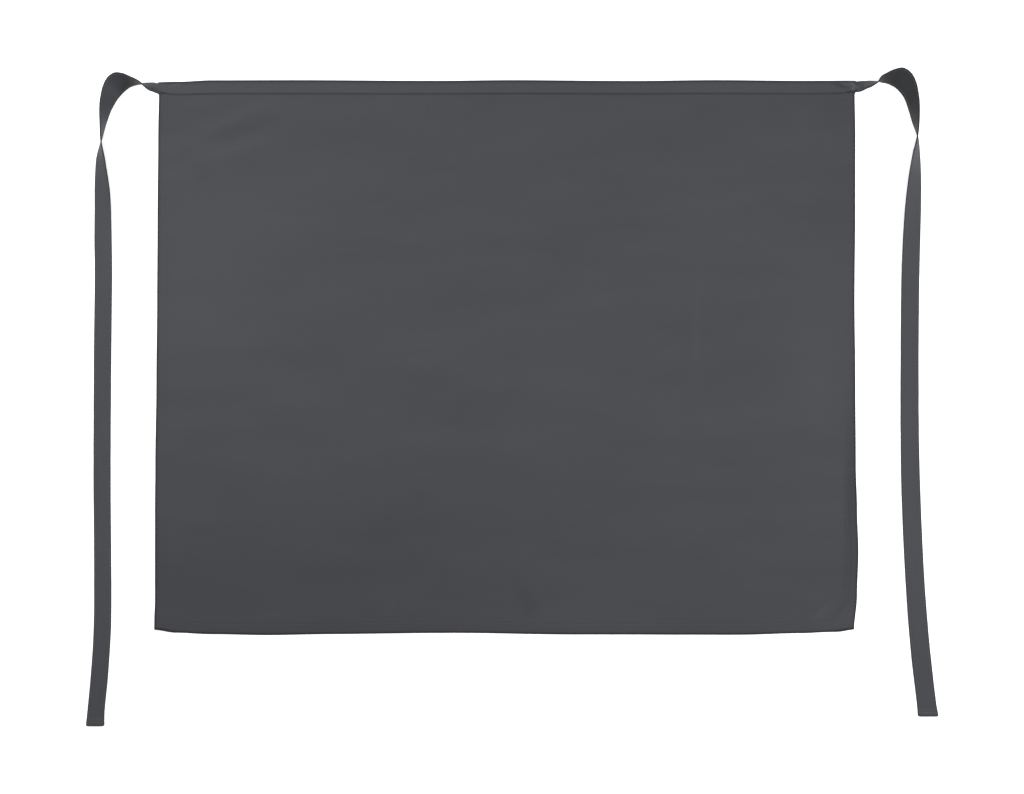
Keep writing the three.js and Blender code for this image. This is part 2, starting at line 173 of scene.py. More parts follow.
# How the waistband's top edge waves and how deep the strip is, as shares of its depth
WAIST_EDGE = table(
    "across rise depth",
    (0.0, -0.13, 0.89),
    (0.035, -0.09, 0.95),
    (0.08, 0.01, 1.0),
    (0.2, 0.02, 1.01),
    (0.4, -0.03, 0.97),
    (0.51, 0.02, 1.0),
    (0.68, -0.04, 0.96),
    (0.8, 0.02, 1.0),
    (0.92, -0.03, 0.97),
    (1.0, -0.02, 0.93),
)

# Creases of the waistband's front: where each crosses its lower edge in metres, how far it moves
# along for each metre up, and its height and width in millimetres
WAIST_CREASES = table(
    "x slant height width",
    (0.343, 0.5, 0.5, 1.3),
    (0.332, 0.6, 0.35, 1.6),
    (-0.335, -0.9, 0.4, 2.2),
    (-0.31, 1.8, 0.25, 2.5),
)

# Soft ridges. Across, length and width are shares of the panel's width, down is a share of its
# length, rise is in millimetres and angle in degrees from +X.
RIDGES = table(
    "across down length width rise angle",
    (0.105, 0.075, 0.19, 0.028, 2.6, 21),
    (0.08, 0.138, 0.16, 0.028, 2.4, 18),
    (0.55, 0.33, 0.2, 0.05, 1.2, -12),
    (0.66, 0.4, 0.16, 0.045, 1.2, -8),
    (0.935, 0.6, 0.2, 0.06, 1.8, 82),
    (0.77, 0.48, 0.3, 0.035, 1.1, 88),
    (0.935, 0.955, 0.06, 0.025, 2, 50),
    (0.53, 0.95, 0.09, 0.035, 1.6, 75),
    (0.32, 0.94, 0.08, 0.035, 1.2, 68),
)

# Painted shade and painted light on the panel: darker where the amount is positive, lighter where
# it is negative. They stand in for the shading of its ridges, creases and rolled right hem, and
# for the light falling off across it. In the same columns as the ridges.
PANEL_PAINTED_SHADES = table(
    "across down length width amount angle",
    (0.111, 0.062, 0.17, 0.03, -0.08, 21),
    (0.118, 0.09, 0.16, 0.026, 0.09, 19),
    (0.038, 0.131, 0.035, 0.03, 0.07, 60),
    (0.109, 0.124, 0.13, 0.03, -0.08, 23),
    (0.027, 0.169, 0.09, 0.028, -0.06, 2),
    (0.066, 0.173, 0.045, 0.02, 0.06, 38),
    (0.97, 0.07, 0.13, 0.08, 0.05, 90),
    (0.1, 0.37, 0.5, 0.4, -0.04, 90),
    (0.04, 0.3, 0.5, 0.34, -0.04, 90),
    (0.3, 0.77, 1.8, 0.24, 0.035, 4),
    (0.94, 0.52, 0.27, 0.13, -0.045, 90),
    (0.992, 0.76, 0.42, 0.028, 0.22, 88),
    (0.585, 0.305, 0.17, 0.08, 0.035, -10),
    (0.69, 0.385, 0.13, 0.07, 0.035, -8),
    (0.775, 0.42, 0.3, 0.02, -0.05, 88),
    (0.744, 0.616, 0.24, 0.02, -0.035, 0),
    (0.34, 0.51, 0.3, 0.02, -0.025, 2),
    (0.5, 0.93, 2.2, 0.36, 0.05, 0),
    (0.2, 0.95, 0.9, 0.36, 0.09, 8),
    (0.53, 0.94, 0.08, 0.04, 0.07, -62),
    (0.62, 0.94, 0.07, 0.03, -0.05, 70),
    (0.33, 0.955, 0.07, 0.02, -0.04, 60),
    (0.955, 0.958, 0.06, 0.014, -0.1, 47),
    (0.975, 0.965, 0.06, 0.014, 0.1, 47),
)

# Painted shade and painted highlights of the creases and edges where the ties leave the waistband,
# in the same columns
TIE_ROOT_PAINTED_SHADES = table(
    "across down length width amount angle",
    (0.0031, 0.0127, 0.026, 0.0057, -0.25, 90),
    (0.0029, 0.0069, 0.043, 0.0064, -0.38, 0),
    (0.0293, 0.0085, 0.026, 0.0057, -0.36, 15),
    (-0.0071, 0.0141, 0.036, 0.006, 0.42, -27),
    (0.9793, 0.0108, 0.034, 0.01, 0.34, -20),
    (0.9864, 0.0069, 0.028, 0.0085, -0.24, -12),
    (0.9983, 0.0103, 0.028, 0.0064, -0.66, -36),
    (1.0036, 0.009, 0.02, 0.0086, 0.16, -40),
    (1.0129, 0.0108, 0.0128, 0.0085, -0.34, 60),
    (0.9957, 0.0154, 0.0071, 0.0071, -0.8, 0),
    (1.0121, 0.0141, 0.037, 0.006, 0.34, 27),
    (0.9921, 0, 0.1, 0.0064, -0.6, 0),
)

# The ties' ways. In turn, each row gives the tape's two edges, the upper and the lower one where
# it leaves the waistband. Out and up are shares of TIE_REACH, lift and spread of TIE_WIDTH, and
# along is a share of the length that is left after the turn. In painted_shades, along is a share
# of
# TIE_REACH from the waistband, and amount is painted shade: how much darker the tape is drawn
# there, or lighter where negative, for the shade on its arches and turns.
TURN_COLUMNS = "upper_out upper_up upper_lift lower_out lower_up lower_lift"
RUN_COLUMNS = "along out spread"
PAINTED_SHADE_COLUMNS = "along amount"
TIES = {
    "tie_left": {
        "side": -1,
        "painted_shades": table(
            PAINTED_SHADE_COLUMNS,
            (0.0, -0.02),
            (0.28, 0.04),
            (0.37, 0.48),
            (0.46, 0.64),
            (0.6, 0.48),
            (0.76, 0.32),
            (0.95, 0.0),
            (1.3, -0.06),
            (1.65, -0.24),
            (1.9, 0.1),
            (2.1, 0.26),
            (2.6, 0.06),
            (3.2, 0.0),
        ),
        "turn": table(
            TURN_COLUMNS,
            (0.035, 0.09, 0.06, 0.035, -0.09, 0.35),
            (0.105, 0.085, 0.05, 0.095, -0.07, 0.57),
            (0.175, 0.08, 0.05, 0.15, -0.025, 0.74),
            (0.25, 0.065, 0.05, 0.205, 0.03, 0.84),
            (0.325, 0.05, 0.08, 0.275, 0.09, 0.91),
            (0.395, 0.025, 0.14, 0.36, 0.135, 0.96),
            (0.46, -0.015, 0.27, 0.45, 0.18, 0.98),
            (0.505, -0.07, 0.49, 0.55, 0.225, 0.95),
            (0.54, -0.12, 0.68, 0.7, 0.24, 0.86),
            (0.58, -0.17, 0.76, 0.83, 0.155, 0.82),
            (0.645, -0.24, 0.7, 0.91, 0, 0.86),
            (0.72, -0.325, 0.43, 0.95, -0.185, 0.93),
            (0.79, -0.42, 0.23, 0.965, -0.375, 0.96),
            (0.905, -0.695, 0.05, 0.955, -0.72, 0.96),
            (0.985, -0.975, 0.05, 0.935, -1.01, 0.98),
            (1.07, -1.285, 0.05, 0.875, -1.31, 0.89),
            (1.1, -1.755, 0.05, 0.815, -1.77, 0.58),
            (1.105, -2.05, 0.05, 0.795, -2.055, 0.38),
            (1.11, -2.63, 0, 0.795, -2.63, 0),
        ),
        "run": table(
            RUN_COLUMNS,
            (0.08, 0.945, 0.945),
            (0.25, 0.96, 0.945),
            (0.5, 0.97, 0.935),
            (0.65, 0.96, 0.935),
            (0.8, 0.965, 0.945),
            (0.9, 1.02, 0.94),
            (0.97, 1.08, 0.94),
            (1.0, 1.095, 1.0),
        ),
    },
    "tie_right": {
        "side": 1,
        "painted_shades": table(
            PAINTED_SHADE_COLUMNS,
            (0.0, -0.04),
            (0.25, 0.06),
            (0.36, 0.26),
            (0.7, 0.28),
            (1.05, 0.22),
            (1.4, 0.26),
            (1.65, 0.24),
            (1.95, 0.2),
            (2.15, 0.02),
            (2.4, -0.25),
            (2.9, -0.12),
            (3.8, 0.0),
        ),
        "turn": table(
            TURN_COLUMNS,
            (0.095, 0.115, 0.06, 0.085, -0.085, 0.35),
            (0.19, 0.115, 0.05, 0.17, -0.045, 0.58),
            (0.275, 0.115, 0.05, 0.25, -0.015, 0.71),
            (0.35, 0.11, 0.05, 0.315, 0.025, 0.81),
            (0.41, 0.105, 0.05, 0.37, 0.07, 0.87),
            (0.485, 0.085, 0.09, 0.43, 0.165, 0.9),
            (0.565, 0.065, 0.19, 0.515, 0.22, 0.94),
            (0.625, 0.025, 0.35, 0.595, 0.265, 0.95),
            (0.68, -0.02, 0.56, 0.695, 0.305, 0.92),
            (0.72, -0.065, 0.71, 0.83, 0.325, 0.86),
            (0.765, -0.12, 0.76, 0.97, 0.235, 0.84),
            (0.825, -0.185, 0.65, 1.06, 0.06, 0.88),
            (0.89, -0.27, 0.38, 1.1, -0.15, 0.92),
            (0.94, -0.37, 0.19, 1.115, -0.345, 0.93),
            (1.03, -0.625, 0.05, 1.105, -0.655, 0.95),
            (1.125, -0.885, 0.05, 1.07, -0.92, 0.99),
            (1.165, -1.21, 0.05, 0.99, -1.24, 0.95),
            (1.19, -1.7, 0.05, 0.915, -1.72, 0.74),
            (1.185, -2.375, 0.05, 0.86, -2.385, 0.46),
            (1.16, -3.5, 0, 0.83, -3.5, 0),
        ),
        "run": table(
            RUN_COLUMNS,
            (0.12, 0.985, 0.98),
            (0.35, 0.985, 1.0),
            (0.5, 1.01, 1.03),
            (0.7, 1.085, 1.04),
            (0.85, 1.18, 1.06),
            (0.97, 1.29, 1.06),
            (1.0, 1.32, 1.13),
        ),
    },
}


# Curves and noise. The noise repeats after this many cells each way.
NOISE_CELLS = (97, 89)


def ease(share):
    share = np.clip(share, 0, 1)
    return share * share * (3 - 2 * share)


def mix(start, end, share):
    return start + (end - start) * share


def curve(rows, start, end, value):
    """The smooth curve of a table, from one named column to another."""
    places, values = rows[start], rows[end]
    value = np.clip(value, places[0], places[-1])
    index = np.clip(np.searchsorted(places, value, side="right") - 1, 0, len(places) - 2)
    share = (value - places[index]) / (places[index + 1] - places[index])
    return mix(values[index], values[index + 1], ease(share))


def noise(x, y, cell_x, cell_y, seed):
    """Smooth noise from 0 to 1 whose bumps are about a cell across."""
    lattice = np.random.default_rng(seed).random(NOISE_CELLS)
    column, row = np.broadcast_arrays(x / cell_x, y / cell_y)
    i, j = np.floor(column).astype(int), np.floor(row).astype(int)
    u, v = ease(column - i), ease(row - j)

    def pick(right, up):
        return lattice[(i + right) % lattice.shape[0], (j + up) % lattice.shape[1]]

    return mix(mix(pick(0, 0), pick(1, 0), u), mix(pick(0, 1), pick(1, 1), u), v)


def waves(size, x, y, seed):
    """Noise as high and as long each way as a size in millimetres says."""
    height, length_x, length_y = size
    return height * noise(x, y, length_x * MM, length_y * MM, seed)


def bump(distance, width):
    return np.exp(-((distance / width) ** 2))


def settle(distance, reach, run=SETTLE):
    """One where cloth lies over a hem of this reach, falling to nothing beside it."""
    return 1 - ease((distance - reach) / run)


def turn_over(inset, turn, radius, offset):
    """Cloth turned over a fold: how far out of the fold's line it lies, and how high."""
    out = np.sin(turn) * (radius + offset) - inset
    return out, np.cos(turn) * (radius + offset) - radius


# Panel
POCKET = max(TIE_INSERT, HEM) + GAP
POCKET_DEPTH = WAISTBAND_DEPTH - HEM_TUCK
PANEL_TOP = CLOTH + (CLOTH + 2 * GAP) / 2
SIDE_CLEARED = POCKET - FOLD_INSET
HEM_REACH = HEM - FOLD_INSET
STITCH_INSET = HEM_STITCH - FOLD_INSET
BOTTOM_LINE = PANEL_LENGTH - FOLD_INSET
BOTTOM_CLEARED = HEM_REACH + GAP
WAIST_CLEARED = WAISTBAND_DEPTH + GAP


def side_distance(side, down):
    """From the middle to the panel's edge on one side."""
    share = down / PANEL_LENGTH
    left, right = (curve(SIDE_EDGES, "down", name, share) for name in ("left", "right"))
    return HALF_WIDTH + PANEL_WIDTH * np.where(side < 0, left, right)


def across_share(x):
    return (x + HALF_WIDTH) / PANEL_WIDTH


def waist_top(x):
    return WAIST_TOP + WAISTBAND_DEPTH * curve(WAIST_EDGE, "across", "rise", across_share(x))


def hem_stations(cleared):
    """Insets and turns from a hem's free edge, round its fold and on to where cloth settles."""
    beside = STITCH_INSET + GROOVE_WIDTH * np.array([-2, -1, -0.5, 0, 0.5, 1])
    under = np.r_[HEM_REACH, beside[::-1], np.linspace(beside[0], 0, 5)[1:-1]]
    fold = np.linspace(math.pi, 0, FOLD_STEPS)
    over = np.r_[np.linspace(0, beside[0], 7)[1:-1], beside, HEM_REACH]
    beyond = cleared + SETTLE * np.linspace(0, 1, 9)
    inset = np.r_[under, 0 * fold, over, beyond]
    turn = np.r_[np.full(len(under), math.pi), fold, np.zeros(len(over) + len(beyond))]
    return inset, turn


def panel_columns():
    """Side, inset, turn and share of every column, from the left free edge to the right."""
    inset, turn = hem_stations(SIDE_CLEARED)
    count = round((PANEL_WIDTH - 2 * (SIDE_CLEARED + SETTLE)) / CELL)
    share = np.arange(1, count) / count
    none = np.zeros(len(share))
    side = np.r_[np.full(len(inset), -1), none, np.full(len(inset), 1)]
    share = np.r_[0 * inset, share, 0 * inset]
    return side, np.r_[inset, none, inset[::-1]], np.r_[turn, none, turn[::-1]], share


def panel_rows():
    """Down and turn of every row, from inside the waistband to the bottom hem's free edge."""
    top = np.r_[PANEL_TOP, mix(PANEL_TOP, POCKET_DEPTH, 0.5), POCKET_DEPTH, WAISTBAND_DEPTH]
    top = np.r_[top, WAIST_CLEARED + WAIST_SETTLE * np.linspace(0, 1, 8)]
    inset, turn = hem_stations(BOTTOM_CLEARED)
    bottom = BOTTOM_LINE - inset[::-1]
    count = round((bottom[0] - top[-1]) / CELL)
    middle = mix(top[-1], bottom[0], np.arange(1, count) / count)
    down = np.r_[top, middle, bottom]
    return down, np.r_[0 * top, 0 * middle, turn[::-1]]


def features(rows, x, down):
    """The sum of a table's soft oblong features at a place on the panel."""
    total = 0
    for across, row_down, length, width, amount, angle in zip(*rows.values()):
        east = x - PANEL_WIDTH * (across - 0.5)
        north = PANEL_LENGTH * row_down - down
        cos, sin = math.cos(math.radians(angle)), math.sin(math.radians(angle))
        along = np.clip((east * cos + north * sin) / (PANEL_WIDTH * length / 2), -1, 1)
        aside = np.clip((north * cos - east * sin) / (PANEL_WIDTH * width / 2), -1, 1)
        total = total + amount * (1 - along**2) ** 2 * (1 - aside**2) ** 2
    return total


def panel_relief(x, down):
    """Low unevenness of cloth that lies on a floor."""
    return MM * (waves(BROAD_WAVES, x, down, seed=3) + waves(SMALL_WAVES, x, down, seed=4))


def hem_pucker(along, inset, seed):
    """Small puckers that a row of stitches pulls into the cloth beside it."""
    long_waves = noise(along, 0 * along, LONG_PUCKER, 1, seed)
    short_waves = noise(along, 0 * along, SHORT_PUCKER, 1, seed + 1)
    beside = np.exp(-np.abs(inset - HEM_REACH) / PUCKER_REACH)
    return PUCKER_HEIGHT * (long_waves + SHORT_PUCKER_SHARE * short_waves) * beside


def groove(inset):
    return GROOVE_DEPTH * bump(inset - STITCH_INSET, GROOVE_WIDTH)


def panel_grid(offset):
    """The panel's face at an offset from the middle of its cloth, as a grid of points."""
    side, inset, turn, share = (column[:, None] for column in panel_columns())
    down, row_turn = (row[None, :] for row in panel_rows())
    below = np.maximum(BOTTOM_LINE - down, 0)
    over_side = np.abs(side) * settle(inset, SIDE_CLEARED)
    over_bottom = settle(below, BOTTOM_CLEARED)
    over_waist = settle(down, WAIST_CLEARED, WAIST_SETTLE)
    out, height = turn_over(inset, turn, FOLD_RADIUS, offset)
    hemmed = side * (side_distance(side, down) - FOLD_INSET + out)
    inner = [s * (side_distance(s, down) - FOLD_INSET - SIDE_CLEARED - SETTLE) for s in (-1, 1)]
    x = np.where(side == 0, mix(inner[0], inner[1], share), hemmed)
    free = (1 - over_side) * (1 - over_bottom) * (1 - over_waist)
    lift = LAYER * (over_side + over_bottom + over_side * over_bottom + over_waist)
    lift = lift + free * MM * features(RIDGES, x, down)
    pucker = np.abs(side) * hem_pucker(down, inset, seed=11) + hem_pucker(x, below, seed=13)
    lift = lift + (1 - over_waist) * (panel_relief(x, down) + pucker)
    flat = np.cos(turn) * np.abs(side) * groove(inset) + (row_turn < 1) * groove(below)
    lift = lift - (1 - over_waist) * np.clip(flat, 0, GROOVE_DEPTH)
    fold_out, fold_height = turn_over(0, row_turn, lift / 2, np.where(turn > 0, height, offset))
    down_share = down / PANEL_LENGTH
    wave = (waist_top(x) - WAIST_TOP) * (1 - down_share)
    drop = PANEL_LENGTH * curve(BOTTOM_EDGE, "across", "drop", across_share(x))
    drop = drop - LAYER * over_side
    y = WAIST_TOP + wave - down - drop * down_share**2 - fold_out
    return np.stack(np.broadcast_arrays(x, y, CLOTH / 2 + lift + fold_height), axis=-1)


def panel_holds():
    """Which cells the panel has: its top corners are trimmed where the ties are sewn in."""
    side, inset, _, _ = panel_columns()
    down, _ = panel_rows()
    corner = (side != 0) & (inset < SIDE_CLEARED)
    corner = corner[:-1] | corner[1:]
    return ~(corner[:, None] & (down[:-1] < POCKET_DEPTH)[None, :])


def panel_cloth_places():
    """Flat cloth coordinates of the panel's grid."""
    side, inset, turn, share = (column[:, None] for column in panel_columns())
    down, row_turn = (row[None, :] for row in panel_rows())
    inner = HALF_WIDTH - SIDE_CLEARED - SETTLE
    past = FOLD_RADIUS * (math.pi - turn) * (turn > 0)
    under = inset + math.pi * FOLD_RADIUS
    hemmed = side * (HALF_WIDTH + np.where(turn >= math.pi, under, -inset + past))
    across = np.where(side == 0, mix(-inner, inner, share), hemmed)
    below = BOTTOM_LINE - down
    along = down + np.where(row_turn >= math.pi, 2 * below + 2 * FOLD_RADIUS, 0)
    return across + 0 * along, along + 0 * across


# Waistband
def waistband_columns():
    """Places along the strip, and how far each is over a side hem."""
    ends = [side * (side_distance(side, WAIST_TOP) + WAISTBAND_OVERHANG) for side in (-1, 1)]
    x = np.linspace(float(ends[0]), float(ends[1]), round(PANEL_WIDTH / WAISTBAND_CELL))
    inset = side_distance(np.sign(x), WAIST_TOP) - FOLD_INSET - np.abs(x)
    return x, settle(inset, SIDE_CLEARED)


def waistband_rows():
    """Share of the way from the fold to the free edge, and the turn, round the strip."""
    flat = WAISTBAND_DEPTH - FOLD_INSET
    near = [1 - (row + GROOVE_WIDTH * GROOVE_STEPS) / flat for row in WAISTBAND_STITCHES]
    share = np.unique(np.r_[np.linspace(0.08, 1, 9), np.concatenate(near)])
    fold = np.linspace(math.pi, 0, FOLD_STEPS)
    turn = np.r_[np.full(len(share), math.pi), fold, 0 * share]
    return np.r_[share[::-1], 0 * fold, share], turn


def waistband_relief(x, up):
    """Fullness and small wrinkles of the strip's front, between and beside its stitches."""
    relief = waves(WAISTBAND_WRINKLES, x - WRINKLE_SLANT * up, up, seed=21)
    relief = relief + waves(WAISTBAND_WAVES, x, up, seed=22)
    for place, slant, height, width in zip(*WAIST_CREASES.values()):
        relief = relief + height * bump(x - place - slant * up, width * MM)
    pressed = sum(bump(up - row, GROOVE_WIDTH) for row in WAISTBAND_STITCHES)
    return MM * relief * (1 - SEAM_FLATTENING * np.clip(pressed, 0, 1))


def waistband_grid(offset):
    """The strip's face at an offset from the middle of its cloth, as a grid of points."""
    x, rise = (column[:, None] for column in waistband_columns())
    share, turn = (row[None, :] for row in waistband_rows())
    radius = LAYER * (2 + rise) / 2
    depth = WAISTBAND_DEPTH * curve(WAIST_EDGE, "across", "depth", across_share(x))
    inset = (depth - CLOTH / 2 - radius) * share
    out, height = turn_over(inset, turn, radius, offset)
    y = waist_top(x) - CLOTH / 2 - radius + out
    up = depth - CLOTH / 2 - radius - inset
    front = (1 + np.cos(turn)) / 2
    z = CLOTH / 2 + 2 * radius + height + front * waistband_relief(x, up)
    to_end = np.minimum(x - x[0], x[-1] - x)
    thinned = front * (1 - ease(to_end / END_RUN))
    curled = front * (1 - ease(to_end / CORNER_RUN)) * share**2
    y = y + CORNER_RISE * curled
    z = z + CORNER_LIFT * curled - thinned * (END_DROP + END_THINNING * offset)
    return np.stack(np.broadcast_arrays(x, y, z), axis=-1)


# Ties
def spline(points, power, count=60):
    """Points along a smooth curve through points, with knots a power of the distance apart."""
    points = np.array(points, float)
    points = np.vstack([2 * points[0] - points[1], points, 2 * points[-1] - points[-2]])
    steps = np.linalg.norm(np.diff(points, axis=0), axis=1) ** power
    share = np.linspace(0, 1, count, endpoint=False)[:, None]
    made = []
    for index in range(1, len(points) - 2):
        before, start, end, after = points[index - 1 : index + 3]
        first, step, last = steps[index - 1 : index + 2]
        rise = (end - start) / step
        leave = step * ((start - before) / first - (end - before) / (first + step) + rise)
        arrive = step * (rise - (after - start) / (step + last) + (after - end) / last)
        square = 3 * (end - start) - 2 * leave - arrive
        cube = 2 * (start - end) + leave + arrive
        made.append(start + share * leave + share**2 * square + share**3 * cube)
    return np.vstack([*made, points[-2]])


def path_lengths(points):
    return np.r_[0, np.cumsum(np.linalg.norm(np.diff(points, axis=0), axis=1))]


def tie_route(side, turn, run):
    """A tie's centre line, and half of its section as a vector to its first edge."""
    waist_end = float(side_distance(side, 0)) - HALF_WIDTH + WAISTBAND_OVERHANG
    root_width = POCKET_DEPTH - CLOTH - ROOT_CLEARANCE - GAP
    root_down = CLOTH + ROOT_CLEARANCE + root_width / 2
    centres, halves = [], []
    for share in ROOT_STATIONS:
        out = waist_end - TIE_INSERT * share
        up = float(waist_top(side * (HALF_WIDTH + out))) - root_down
        centres.append((HALF_WIDTH + out, up, CLOTH + GAP + TIE_THICKNESS / 2))
        halves.append((0, root_width / 2, 0))
    for row in zip(*turn.values()):
        upper, lower = np.reshape(row, (2, 3)) * (TIE_REACH, TIE_REACH, TIE_WIDTH)
        centres.append((upper + lower) / 2 + (HALF_WIDTH, 0, 0))
        halves.append((upper - lower) / 2)
    left = TIE_INSERT + TIE_LENGTH - path_lengths(spline(centres, power=0.5))[-1]
    top = centres[-1][1]
    for along, out, spread in zip(*run.values()):
        centres.append((HALF_WIDTH + TIE_REACH * out, top - left * along, 0))
        halves.append((TIE_WIDTH * spread / 2, 0, 0))
    return spline(centres, power=0.5), spline(halves, power=0)


def tie_section():
    """Across the tape from edge to edge as a share of its half width, on one face."""
    half = TIE_WIDTH / 2
    grooved = TIE_STITCH + GROOVE_WIDTH * GROOVE_STEPS
    beside = grooved[0] - TIE_GROOVE_MARGIN
    inset = np.r_[TIE_EDGE_INSETS, beside, grooved, TIE_FACE_INSETS, half]
    share = 1 - inset / half
    return np.r_[share, -share[-2::-1]]


def tie_surface(side, turn, run):
    """A tape as rings of points, with its flat coordinates along and across."""
    line, halves = tie_route(side, turn, run)
    lengths = path_lengths(line)
    total = lengths[-1]
    stops = np.linspace(0, total - TIE_CORNER, round(total / TIE_STEP))
    stops = np.r_[stops, total - TIE_CORNER * TIE_CORNER_RINGS]
    columns = (*line.T, *halves.T)
    at = np.stack([np.interp(stops, lengths, column) for column in columns], axis=1)
    centre, half = at[:, :3], at[:, 3:]
    ahead = np.gradient(centre, stops, axis=0)
    width = 2 * np.linalg.norm(half, axis=1)
    aside = 2 * half / width[:, None]
    face = np.cross(ahead, aside)
    face /= np.linalg.norm(face, axis=1)[:, None]

    hemmed = ease((TIE_END_HEM - (total - stops)) / TIE_END_SLOPE + 0.5)
    thickness = mix(TIE_THICKNESS, TIE_END_THICKNESS, hemmed)
    wander = noise(stops, 0, TIE_WANDER_CELL, 1, seed=31 + side) - 0.5
    width = width * (1 + TIE_WANDER * wander)
    corner = np.clip(1 - (total - stops) / TIE_CORNER, 0, 1)
    width = width - 2 * TIE_CORNER * (1 - np.sqrt(1 - corner**2))
    reach = (np.abs(aside[:, 2]) * width + np.abs(face[:, 2]) * thickness) / 2
    centre[:, 2] = np.maximum(centre[:, 2], reach)

    share = tie_section()
    inset = np.maximum(TIE_WIDTH / 2 * (1 - np.abs(share)), 0)
    into_edge = 1 - np.clip(inset / (TIE_THICKNESS / 2), 0, 1)
    rounding = np.sqrt(1 - into_edge**2)
    pull = 1 - STITCH_PULL + STITCH_PULL * np.cos(2 * math.pi * stops / STITCH_PITCH)
    seam = bump(inset - TIE_STITCH, GROOVE_WIDTH)
    full = TIE_FULLNESS * noise(stops[:, None], share * TIE_WIDTH, *TIE_CELLS, seed=41 + side)
    deep = thickness[:, None] / 2 * rounding - seam * TIE_GROOVE_DEPTH * pull[:, None]
    top = deep + rounding * (1 - seam) * full
    bottom = -deep
    wide = share * width[:, None] / 2
    rings = []
    for heights, picks in ((top, slice(None)), (bottom, slice(-2, 0, -1))):
        across, high = wide[:, picks, None], heights[:, picks, None]
        rings.append(centre[:, None] + across * aside[:, None] + high * face[:, None])
    points = np.concatenate(rings, axis=1)
    points[..., 0] *= side
    order = np.r_[share, share[-2:0:-1]]
    reverse = np.r_[0 * share, 0 * share[-2:0:-1] + 1]
    return points, stops, order, reverse


# Meshes
def make_object(name, points, faces, material, attributes=None, sharp=50):
    """A smooth-shaded mesh object at the origin, with its named point attributes."""
    mesh = bpy.data.meshes.new(name)
    mesh.from_pydata(np.asarray(points).tolist(), [], faces)
    for key, values in (attributes or {}).items():
        values = np.asarray(values, float)
        kind = "FLOAT_VECTOR" if values.ndim == 2 else "FLOAT"
        data = mesh.attributes.new(key, kind, "POINT").data
        data.foreach_set("vector" if values.ndim == 2 else "value", values.ravel())
    mesh.shade_smooth()
    mesh.set_sharp_from_angle(angle=math.radians(sharp))
    mesh.materials.append(material)
    made = bpy.data.objects.new(name, mesh)
    bpy.context.scene.collection.objects.link(made)
    return made


def sheet_mesh(outer, inner, holds, values):
    """A closed sheet from its two faces and the cells it has: points, faces and attributes."""
    columns, rows = outer.shape[:2]
    number = np.arange(columns * rows).reshape(columns, rows)
    a, b, c, d = number[:-1, :-1], number[:-1, 1:], number[1:, 1:], number[1:, :-1]
    back = columns * rows
    padded = np.pad(holds, 1)
    quads = [np.stack([a, b, c, d], -1)[holds], np.stack([d, c, b, a], -1)[holds] + back]
    walls = (
        (a, b, padded[:-2, 1:-1]),
        (b, c, padded[1:-1, 2:]),
        (c, d, padded[2:, 1:-1]),
        (d, a, padded[1:-1, :-2]),
    )
    for start, end, neighbour in walls:
        open_edge = holds & ~neighbour
        start, end = start[open_edge], end[open_edge]
        quads.append(np.stack([end, start, start + back, end + back], -1))
    quads = np.concatenate(quads)
    used, index = np.unique(quads, return_inverse=True)
    points = np.concatenate([outer.reshape(-1, 3), inner.reshape(-1, 3)])[used]
    attributes = {}
    for key, value in values.items():
        both = np.concatenate([value.reshape(back, -1)] * 2)[used]
        attributes[key] = both if both.shape[1] > 1 else both[:, 0]
    return points, index.reshape(quads.shape).tolist(), attributes


def tube_mesh(points, side):
    """A closed tube through rings of points, with its two ends capped."""
    rings, ring = points.shape[:2]
    number = np.arange(rings * ring).reshape(rings, ring)
    following = np.roll(number, -1, axis=1)
    quads = np.stack([number[:-1], following[:-1], following[1:], number[1:]], -1).reshape(-1, 4)
    caps = [number[0, ::-1].tolist(), number[-1].tolist()]
    faces = quads.tolist() + caps
    return faces if side < 0 else [face[::-1] for face in faces]


def grid_normals(points):
    """Unit normals of a grid of points."""
    normal = np.cross(np.gradient(points, axis=1), np.gradient(points, axis=0))
    return normal / np.maximum(np.linalg.norm(normal, axis=-1), 1e-12)[..., None]


# A stitch from end to end: how far along, how high above the cloth and how thick its thread is,
# as shares of its half length and of the thread's radius
STITCH = table(
    "along height thick",
    (-1, -1.2, 0.7),
    (-0.72, 0.5, 1),
    (0, 0.9, 1),
    (0.72, 0.5, 1),
    (1, -1.2, 0.7),
)


def stitches(rows, name, material):
    """Rows of thread stitches along paths on the cloth, as one object."""
    share = STITCH["along"]
    height, thick = THREAD_RADIUS * STITCH["height"], THREAD_RADIUS * STITCH["thick"]
    angle = 2 * math.pi * np.arange(STITCH_SIDES) / STITCH_SIDES
    points, places = [], []
    for path, normal in rows:
        lengths = path_lengths(path)
        count = int(lengths[-1] / STITCH_PITCH)
        middle = (np.arange(count) + 0.5) * lengths[-1] / count
        at = (middle[:, None] + share * STITCH_LENGTH / 2).ravel()
        line, up, ahead = (
            np.stack([np.interp(at, lengths, column) for column in values.T], -1)
            for values in (path, normal, np.gradient(path, lengths, axis=0))
        )
        beside = np.cross(up, ahead)
        beside /= np.linalg.norm(beside, axis=-1)[:, None]
        centre = line + up * np.tile(height, count)[:, None]
        radius = np.tile(thick, count)[:, None, None]
        around = np.cos(angle)[:, None] * beside[:, None] + np.sin(angle)[:, None] * up[:, None]
        ring = centre[:, None] + radius * around
        points.append(ring.reshape(-1, len(share), STITCH_SIDES, 3))
        turned = np.broadcast_to(angle * THREAD_RADIUS, (len(at), STITCH_SIDES))
        places.append(np.stack([at[:, None] + 0 * turned, turned, 0 * turned], -1).reshape(-1, 3))
    points = np.concatenate(points)
    number = np.arange(points.size // 3).reshape(points.shape[:3])
    following = np.roll(number, -1, axis=2)
    quads = np.stack([number[:, :-1], number[:, 1:], following[:, 1:], following[:, :-1]], -1)
    faces = quads.reshape(-1, 4).tolist() + number[:, 0].tolist() + number[:, -1, ::-1].tolist()
    attributes = {"cloth": np.concatenate(places)}
    return make_object(name, points.reshape(-1, 3), faces, material, attributes)


